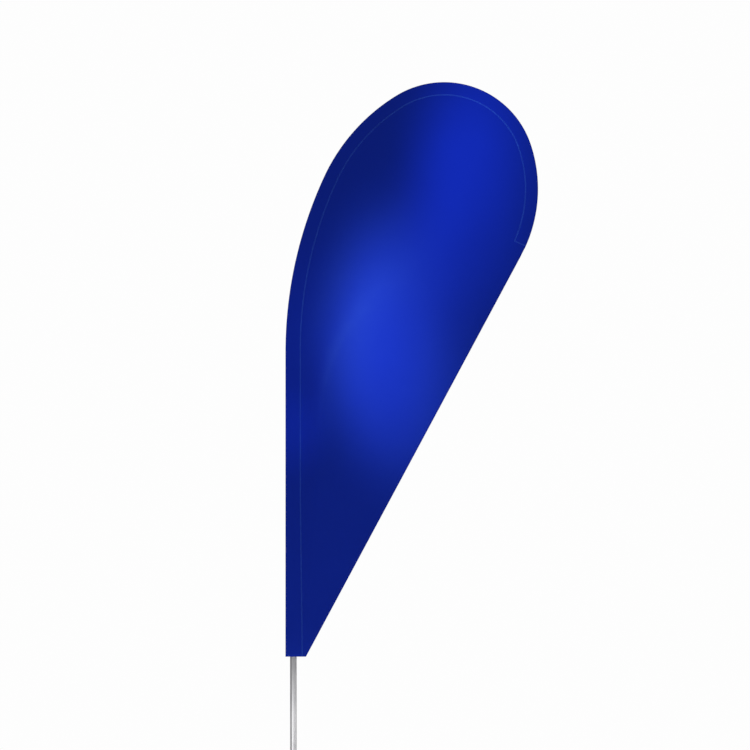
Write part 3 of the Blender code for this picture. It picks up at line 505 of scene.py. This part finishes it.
def slack(length, share, reach, pucker=0.0):
    """Small gathers in the back strip, free of the pole and flat where it is sewn or folded."""
    free = sin(pi * share)
    gather = noise.noise(Vector((length * SLACK_ALONG, reach * SLACK_ACROSS, SLACK_LAYER)))
    drift = PUCKER_SWAY * noise.noise(Vector((length * PUCKER_DRIFT, PUCKER_LAYER, 0.0)))
    fine = sin(length * 2 * pi / PUCKER_PITCH + drift)
    return Vector((0.0, free * (SLACK * (1 + gather) + pucker * fine)))


def on_cloth(point):
    """The same place on the bellied cloth."""
    moved = point.copy()
    relax(moved)
    return moved


def build_pocket_back():
    """The folded edge and the back of the pocket, from the foot to the closed end."""
    rows = [back_ring(length) for length in STATIONS]
    along = bow_frame(POCKET_LENGTH + CLOSE_LENGTH)[0] - bow_frame(POCKET_LENGTH)[0]
    behind = front_depth(POCKET_LENGTH) + CLOTH * LAYER_PITCH
    for step in range(1, CLOSE_STEPS + 1):
        share = smooth_step(step / CLOSE_STEPS, 0.0, 1.0)
        row = []
        for point in rows[len(STATIONS) - 1]:
            moved = point + along * (step / CLOSE_STEPS)
            moved.y += (min(point.y, behind) - point.y) * share if point.y > behind else 0.0
            row.append(moved)
        rows.append(row)
    built = bmesh.new()
    rings = [[built.verts.new(point) for point in row] for row in rows]
    for low, high in zip(rings, rings[1:]):
        for step in range(len(low) - 1):
            built.faces.new((low[step], low[step + 1], high[step + 1], high[step]))
    return finish_mesh("pocket_back", built)


# ---------------------------------------------------------------- seams

def stitch_rows(name, path, offsets, depths):
    """Lockstitches along a path: path(walked) gives a place, the way along and the way across."""
    vertices, faces = [], []
    walked = STITCH_PITCH / 2
    length = path(None)
    while walked < length - STITCH_PITCH / 2:
        place, along, across = path(walked)
        for offset in offsets:
            for depth in depths:
                middle = place + across * offset + Vector((0, depth, 0))
                add_stitch(vertices, faces, middle, along, across)
        walked += STITCH_PITCH
    mesh = bpy.data.meshes.new(name)
    mesh.from_pydata(vertices, [], faces)
    mesh.validate()
    mesh.shade_smooth()
    return link(name, mesh)


def add_stitch(vertices, faces, middle, along, across):
    """One stitch: a short thread that dips into the cloth at both ends."""
    first = len(vertices)
    normal = along.cross(across).normalized()
    for share, swell in STITCH_RINGS:
        centre = middle + along * (share * STITCH_LENGTH)
        for step in range(STITCH_SIDES):
            angle = 2 * pi * step / STITCH_SIDES
            around = across * cos(angle) + normal * sin(angle)
            vertices.append(centre + around * (THREAD / 2 * swell))
    for ring in range(len(STITCH_RINGS) - 1):
        for step in range(STITCH_SIDES):
            after = (step + 1) % STITCH_SIDES
            low = first + ring * STITCH_SIDES
            high = low + STITCH_SIDES
            faces.append((low + step, low + after, high + after, high + step))
    faces.append(tuple(first + step for step in reversed(range(STITCH_SIDES))))
    end = first + (len(STITCH_RINGS) - 1) * STITCH_SIDES
    faces.append(tuple(end + step for step in range(STITCH_SIDES)))


def pocket_seam_path(walked):
    """Along the seam from the foot to the pocket's end; without a place, the seam's length."""
    if walked is None:
        return POCKET_LENGTH
    inward = bow_frame(walked)[1]
    place = on_cloth(seam_point(walked))
    ahead = on_cloth(seam_point(min(walked + SEAM_LOOK, POCKET_LENGTH)))
    behind = on_cloth(seam_point(max(walked - SEAM_LOOK, 0.0)))
    return place, (ahead - behind).normalized(), inward


def cross_seam_path(walked):
    """Across the pocket at its end, from the seam to the folded edge."""
    width = pocket_width(POCKET_LENGTH)
    if walked is None:
        return width
    inward = bow_frame(POCKET_LENGTH)[1]
    up = Vector((inward.z, 0.0, -inward.x))
    place = on_cloth(band_point(POCKET_LENGTH, width - walked))
    return place, -inward, up


def straight_seam(start, end):
    """A path along a straight edge of the sail."""
    run = end - start
    along = Vector((run.x, 0.0, run.z)).normalized()
    across = Vector((-along.z, 0.0, along.x))

    def path(walked):
        if walked is None:
            return run.length
        return on_cloth(start.lerp(end, walked / run.length)), along, across
    return path


def hem_strip(name, start, end, width):
    """The turned-in edge behind the sail, as a thin strip with a rounded fold."""
    run = end - start
    along = run.normalized()
    inside = Vector((-along.z, 0.0, along.x))
    count = max(2, round(run.length / STATION_STEP))
    built = bmesh.new()
    rows = []
    for number in range(count + 1):
        place = start.lerp(end, number / count)
        profile = ((0.0, 0.0), (-FOLD_ROUND * CLOTH, CLOTH / 2), (0.0, CLOTH * LAYER_PITCH),
                   (width * HEM_MIDDLE, CLOTH * LAYER_PITCH), (width, CLOTH * LAYER_PITCH))
        row = []
        for across, behind in profile:
            point = on_cloth(place + inside * across)
            row.append(built.verts.new(point + Vector((0, behind, 0))))
        rows.append(row)
    for low, high in zip(rows, rows[1:]):
        for step in range(len(low) - 1):
            built.faces.new((low[step], low[step + 1], high[step + 1], high[step]))
    return finish_mesh(name, built)


# ---------------------------------------------------------------- material helpers

class Finish:
    """A Principled material with small helpers that chain texture nodes into it."""

    def __init__(self, name, color, roughness, metallic=0.0):
        self.material = bpy.data.materials.new(name)
        self.material.use_nodes = True
        self.nodes = self.material.node_tree.nodes
        self.links = self.material.node_tree.links
        self.shader = self.nodes["Principled BSDF"]
        self.shader.inputs["Base Color"].default_value = (*color, 1.0)
        self.shader.inputs["Roughness"].default_value = roughness
        self.shader.inputs["Metallic"].default_value = metallic
        self.place = self.nodes.new("ShaderNodeTexCoord").outputs["Object"]
        self.normal = None

    def stretched(self, scale):
        """Object coordinates, scaled by a different number along each axis."""
        mapping = self.nodes.new("ShaderNodeMapping")
        mapping.inputs["Scale"].default_value = scale
        self.links.new(self.place, mapping.inputs["Vector"])
        return mapping.outputs["Vector"]

    def noise(self, scale, detail=2.0, stretch=(1.0, 1.0, 1.0)):
        texture = self.nodes.new("ShaderNodeTexNoise")
        texture.inputs["Scale"].default_value = scale
        texture.inputs["Detail"].default_value = detail
        self.links.new(self.stretched(stretch), texture.inputs["Vector"])
        return texture.outputs["Fac"]

    def waves(self, scale, axis, distortion=0.0):
        texture = self.nodes.new("ShaderNodeTexWave")
        texture.wave_type = "BANDS"
        texture.bands_direction = axis
        texture.inputs["Scale"].default_value = scale
        texture.inputs["Distortion"].default_value = distortion
        self.links.new(self.place, texture.inputs["Vector"])
        return texture.outputs["Fac"]

    def cells(self, scale, stretch=(1.0, 1.0, 1.0)):
        texture = self.nodes.new("ShaderNodeTexVoronoi")
        texture.inputs["Scale"].default_value = scale
        self.links.new(self.stretched(stretch), texture.inputs["Vector"])
        return texture.outputs["Distance"]

    def math(self, operation, first, second):
        made = self.nodes.new("ShaderNodeMath")
        made.operation = operation
        for socket, value in zip(made.inputs, (first, second)):
            if isinstance(value, (int, float)):
                socket.default_value = value
            else:
                self.links.new(value, socket)
        return made.outputs[0]

    def spread(self, value, low, high):
        """Map a texture's middle range onto low to high."""
        made = self.nodes.new("ShaderNodeMapRange")
        made.inputs["From Min"].default_value = TEXTURE_LOW
        made.inputs["From Max"].default_value = TEXTURE_HIGH
        made.inputs["To Min"].default_value = low
        made.inputs["To Max"].default_value = high
        self.links.new(value, made.inputs["Value"])
        return made.outputs["Result"]

    def edges(self, low, high):
        """0 on flat faces and 1 along raised edges."""
        made = self.nodes.new("ShaderNodeMapRange")
        made.inputs["From Min"].default_value = low
        made.inputs["From Max"].default_value = high
        geometry = self.nodes.new("ShaderNodeNewGeometry")
        self.links.new(geometry.outputs["Pointiness"], made.inputs["Value"])
        return made.outputs["Result"]

    def tint(self, factor, first, second):
        """Mix two colours by a texture into the base colour."""
        made = self.nodes.new("ShaderNodeMix")
        made.data_type = "RGBA"
        made.inputs[6].default_value = (*first, 1.0)
        made.inputs[7].default_value = (*second, 1.0)
        self.links.new(factor, made.inputs["Factor"])
        self.links.new(made.outputs[2], self.shader.inputs["Base Color"])

    def roughen(self, value):
        self.links.new(value, self.shader.inputs["Roughness"])

    def bump(self, height, distance, strength=1.0):
        made = self.nodes.new("ShaderNodeBump")
        made.inputs["Strength"].default_value = strength
        made.inputs["Distance"].default_value = distance
        self.links.new(height, made.inputs["Height"])
        if self.normal:
            self.links.new(self.normal, made.inputs["Normal"])
        self.normal = made.outputs["Normal"]
        self.links.new(self.normal, self.shader.inputs["Normal"])

    def set(self, **values):
        for name, value in values.items():
            self.shader.inputs[name.replace("_", " ")].default_value = value


# ---------------------------------------------------------------- materials

def sail_cloth():
    """Warp-knitted polyester, dyed through: fine columns of loops, a soft satin sheen."""
    made = Finish("sail_polyester", SAIL_BLUE, roughness=0.52)
    made.set(Specular_IOR_Level=0.25, Specular_Tint=(0.35, 0.9, 1.0, 1.0))
    wales = made.waves(KNIT_WALES, "X", distortion=0.6)
    courses = made.waves(KNIT_COURSES, "Z", distortion=0.8)
    loops = made.math("MULTIPLY", wales, courses)
    cloud = made.noise(5.0, detail=3.0)
    shade = made.math("ADD", made.math("MULTIPLY", cloud, 0.55), made.math("MULTIPLY", loops, 0.45))
    made.tint(made.spread(shade, low=0.0, high=1.0), SAIL_BLUE_DARK, SAIL_BLUE)
    made.roughen(made.spread(made.noise(40.0), low=0.48, high=0.56))
    made.bump(made.noise(14.0, detail=2.0), distance=0.0006, strength=0.5)
    made.bump(loops, distance=0.0003, strength=0.8)
    return made.material


def thread(name, dark, light):
    """Twisted polyester thread."""
    made = Finish(name, light, roughness=0.55)
    made.tint(made.spread(made.noise(600.0), low=0.0, high=1.0), dark, light)
    made.roughen(made.spread(made.noise(900.0), low=0.45, high=0.65))
    made.bump(made.waves(900.0, "DIAGONAL"), distance=0.00008)
    return made.material


def satin_aluminium():
    """Drawn and anodised tube: fine lines lengthwise, faint handling marks."""
    made = Finish("satin_aluminium", ALUMINIUM, roughness=0.42, metallic=0.55)
    lines = made.noise(900.0, detail=2.0, stretch=(1.0, 1.0, 0.006))
    marks = made.noise(30.0, detail=4.0, stretch=(1.0, 1.0, 0.35))
    made.tint(made.spread(marks, low=0.0, high=1.0), ALUMINIUM_DULL, ALUMINIUM)
    made.roughen(made.spread(made.math("MULTIPLY", made.math("ADD", lines, marks), 0.5), low=0.34, high=0.48))
    made.bump(lines, distance=0.00006, strength=0.6)
    return made.material


def wound_fibreglass():
    """Pultruded fibreglass: lengthwise fibres under a thin clear resin."""
    made = Finish("wound_fibreglass", FIBREGLASS, roughness=0.35)
    fibres = made.noise(700.0, detail=3.0, stretch=(1.0, 1.0, 0.02))
    made.tint(made.spread(fibres, low=0.0, high=1.0), FIBREGLASS_DARK, FIBREGLASS_LIGHT)
    made.roughen(made.spread(made.noise(60.0, detail=3.0), low=0.28, high=0.42))
    made.bump(fibres, distance=0.00008, strength=0.5)
    made.set(Coat_Weight=0.4, Coat_Roughness=0.2)
    return made.material


def powder_coat():
    """Black powder coat: fine orange peel, worn lighter along its edges."""
    made = Finish("powder_coat", POWDER, roughness=0.5)
    made.tint(made.edges(WEAR_LOW, WEAR_HIGH), POWDER, POWDER_WORN)
    peel = made.noise(1500.0, detail=2.0)
    made.roughen(made.spread(made.noise(90.0, detail=3.0), low=0.47, high=0.53))
    made.bump(made.noise(420.0, detail=2.0), distance=0.00012, strength=0.6)
    made.bump(peel, distance=0.00005, strength=0.5)
    return made.material


def zinc_plate():
    """Bright zinc plating: turned lines, slightly cloudy."""
    made = Finish("zinc_plate", ZINC, roughness=0.3, metallic=1.0)
    cloud = made.noise(160.0, detail=4.0)
    made.tint(made.spread(cloud, low=0.0, high=1.0), ZINC_DARK, ZINC_LIGHT)
    made.roughen(made.spread(cloud, low=0.38, high=0.24))
    made.bump(made.waves(420.0, "Z", distortion=0.5), distance=0.00004, strength=0.5)
    return made.material


def moulded_nylon():
    """Black nylon with a spark-eroded grain and paler edges."""
    made = Finish("moulded_nylon", NYLON, roughness=0.45)
    made.tint(made.edges(WEAR_LOW, WEAR_HIGH), NYLON, NYLON_WORN)
    grain = made.cells(1400.0)
    made.roughen(made.spread(made.noise(220.0, detail=2.0), low=0.4, high=0.54))
    made.bump(grain, distance=0.00006, strength=0.6)
    return made.material


def foot_rubber():
    """Matt black rubber, dusty in its fine pores."""
    made = Finish("foot_rubber", RUBBER, roughness=0.85)
    dust = made.noise(120.0, detail=5.0)
    made.tint(made.spread(dust, low=0.0, high=1.0), RUBBER_CLEAN, RUBBER_DUSTY)
    made.roughen(made.spread(dust, low=0.78, high=0.95))
    made.bump(made.noise(900.0, detail=3.0), distance=0.0001, strength=0.6)
    return made.material


def woven_elastic():
    """Black braided elastic: a small herringbone of threads."""
    made = Finish("woven_elastic", ELASTIC, roughness=0.8)
    ribs = made.waves(520.0, "Z")
    cross = made.waves(700.0, "DIAGONAL")
    weave = made.math("MULTIPLY", ribs, cross)
    made.tint(made.spread(weave, low=0.0, high=1.0), ELASTIC_DARK, ELASTIC_LIGHT)
    made.roughen(made.spread(weave, low=0.9, high=0.7))
    made.bump(weave, distance=0.0002, strength=0.8)
    made.set(Sheen_Weight=0.3, Sheen_Roughness=0.5)
    return made.material


def floor_finish():
    """Pale studio floor that fades into the white background."""
    made = Finish("pale_floor", FLOOR, roughness=0.85)
    cloud = made.noise(3.0, detail=4.0)
    made.tint(made.spread(cloud, low=0.0, high=1.0), FLOOR_DARK, FLOOR_LIGHT)
    made.bump(made.noise(250.0, detail=3.0), distance=0.0004, strength=0.3)
    made.set(Emission_Color=(1.0, 1.0, 1.0, 1.0), Emission_Strength=FLOOR_GLOW)
    distance = made.nodes.new("ShaderNodeVectorMath")
    distance.operation = "LENGTH"
    made.links.new(made.place, distance.inputs[0])
    fade = made.nodes.new("ShaderNodeMapRange")
    fade.interpolation_type = "SMOOTHSTEP"
    fade.inputs["From Min"].default_value = FLOOR_CLEAR
    fade.inputs["From Max"].default_value = FLOOR_RADIUS
    fade.inputs["To Min"].default_value = 1.0
    fade.inputs["To Max"].default_value = 0.0
    made.links.new(distance.outputs["Value"], fade.inputs["Value"])
    made.links.new(fade.outputs["Result"], made.shader.inputs["Alpha"])
    return made.material


# ---------------------------------------------------------------- stage, light and camera

def build_floor():
    built = bmesh.new()
    bmesh.ops.create_circle(built, cap_ends=True, segments=FLOOR_SIDES, radius=FLOOR_RADIUS)
    floor = finish_mesh("floor", built, False)
    floor.location = (0.0, 0.0, -FLOOR_DROP)
    floor.data.materials.append(floor_finish())


def build_world():
    """White behind the object, a soft even glow for light, and less of it in reflections."""
    world = bpy.data.worlds.new("studio")
    bpy.context.scene.world = world
    world.use_nodes = True
    nodes, links = world.node_tree.nodes, world.node_tree.links
    path = nodes.new("ShaderNodeLightPath")
    last = nodes["Background"]
    last.inputs["Color"].default_value = (AMBIENT, AMBIENT, AMBIENT, 1.0)
    for ray, level in (("Is Glossy Ray", REFLECTED), ("Is Camera Ray", BACKDROP)):
        shade = nodes.new("ShaderNodeBackground")
        shade.inputs["Color"].default_value = (level, level, level, 1.0)
        mix = nodes.new("ShaderNodeMixShader")
        links.new(path.outputs[ray], mix.inputs["Fac"])
        links.new(last.outputs[0], mix.inputs[1])
        links.new(shade.outputs["Background"], mix.inputs[2])
        last = mix
    links.new(last.outputs[0], nodes["World Output"].inputs["Surface"])


def soft_box(name, place, target, side, power, spread=pi):
    """A square area light that faces its target."""
    data = bpy.data.lights.new(name, "AREA")
    data.shape = "RECTANGLE"
    data.size, data.size_y = side, side
    data.spread = spread
    data.energy = power
    lamp = link(name, data)
    lamp.location = place
    lamp.rotation_euler = (Vector(target) - Vector(place)).to_track_quat("-Z", "Y").to_euler()
    lamp.visible_camera = False


def shaped_spot(name, place, target, half_angle, narrow, roll, power, glossy=True):
    """A soft-edged spot with an oval beam: narrow is its width against its height."""
    data = bpy.data.lights.new(name, "SPOT")
    data.spot_size = 2 * half_angle
    data.spot_blend = 1.0
    data.shadow_soft_size = SPOT_SIZE
    data.energy = power
    lamp = link(name, data)
    place, target = Vector(place), Vector(target)
    back = (place - target).normalized()
    right = Vector((0, 0, 1)).cross(back).normalized()
    up = back.cross(right)
    across = right * cos(roll) + up * sin(roll)
    tall = up * cos(roll) - right * sin(roll)
    turned = Matrix((across * narrow, tall, back)).transposed().to_4x4()
    turned.translation = place
    lamp.matrix_world = turned
    lamp.visible_camera = False
    lamp.visible_glossy = glossy


def build_lights():
    for name, place, target, half_angle, narrow, roll, power, glossy in BEAMS:
        shaped_spot(name, place, target, radians(half_angle), narrow, radians(roll), power, glossy)
    pole = (POLE_X, 0.0, POLE_TARGET_HEIGHT)
    soft_box("pole_key", POLE_KEY_PLACE, pole, POLE_BOX, POLE_KEY_POWER, POLE_SPREAD)
    soft_box("pole_fill", POLE_FILL_PLACE, pole, POLE_BOX, POLE_FILL_POWER, POLE_SPREAD)
    soft_box("back_box", BACK_PLACE, BACK_TARGET, BACK_BOX, BACK_POWER)


def build_camera():
    data = bpy.data.cameras.new("camera")
    data.lens = LENS
    data.sensor_width = SENSOR
    data.clip_end = 200.0
    camera = link("camera", data)
    distance = VIEW_HEIGHT * LENS / SENSOR
    camera.location = (VIEW_CENTRE[0], -distance, VIEW_CENTRE[1])
    camera.rotation_euler = (pi / 2, 0.0, 0.0)
    bpy.context.scene.camera = camera


# ---------------------------------------------------------------- assembly

def sail_piece(piece, material, thick=True):
    if thick:
        solidify(piece, CLOTH)
    piece.data.materials.append(material)
    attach(piece, "mast")
    return piece


def build_sail():
    cloth = sail_cloth()
    seam_thread = thread("seam_thread", THREAD_DARK, THREAD_BLUE)
    hem_thread = thread("hem_thread", SAIL_BLUE_DARK, SAIL_BLUE)
    sheet = sail_piece(build_sail_sheet(), cloth)
    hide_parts("sail_panel")
    pocket = sail_piece(build_pocket_back(), cloth)
    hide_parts("pole_pocket")
    hem = sail_piece(hem_strip("trailing_hem", FOOT_CORNER, TANGENT_POINT, HEM_WIDTH), cloth)

    front = -(CLOTH + THREAD * THREAD_PROUD) / 2
    depths = (front, CLOTH * LAYER_PITCH - front)
    rows = (-ROW_GAP / 2, ROW_GAP / 2)
    trailing = straight_seam(FOOT_CORNER, TANGENT_POINT)
    seams = [
        stitch_rows("pocket_stitches", pocket_seam_path, rows, depths),
        stitch_rows("cross_stitches", cross_seam_path, rows, depths),
    ]
    for piece in seams:
        sail_piece(piece, seam_thread, thick=False)
    hem_stitches = stitch_rows("hem_stitches", trailing, (HEM_WIDTH * HEM_ROW,), depths)
    sail_piece(hem_stitches, hem_thread, thick=False)


def finish_frame():
    finishes = {
        "loop_elastic": woven_elastic(),
        "pole_aluminium": satin_aluminium(),
        "fibreglass": wound_fibreglass(),
        "bar_paint": powder_coat(),
        "plain_steel": zinc_plate(),
        "moulded_plastic": moulded_nylon(),
        "foot_rubber": foot_rubber(),
    }
    for part in frame["record"]["subparts"]:
        if part["material_slot"] in finishes:
            mesh = frame["nodes"][part["node"]].data
            mesh.materials.clear()
            mesh.materials.append(finishes[part["material_slot"]])


bpy.context.scene.view_settings.view_transform = "Standard"
build_camera()
build_world()
build_lights()
build_floor()
build_sail()
finish_frame()
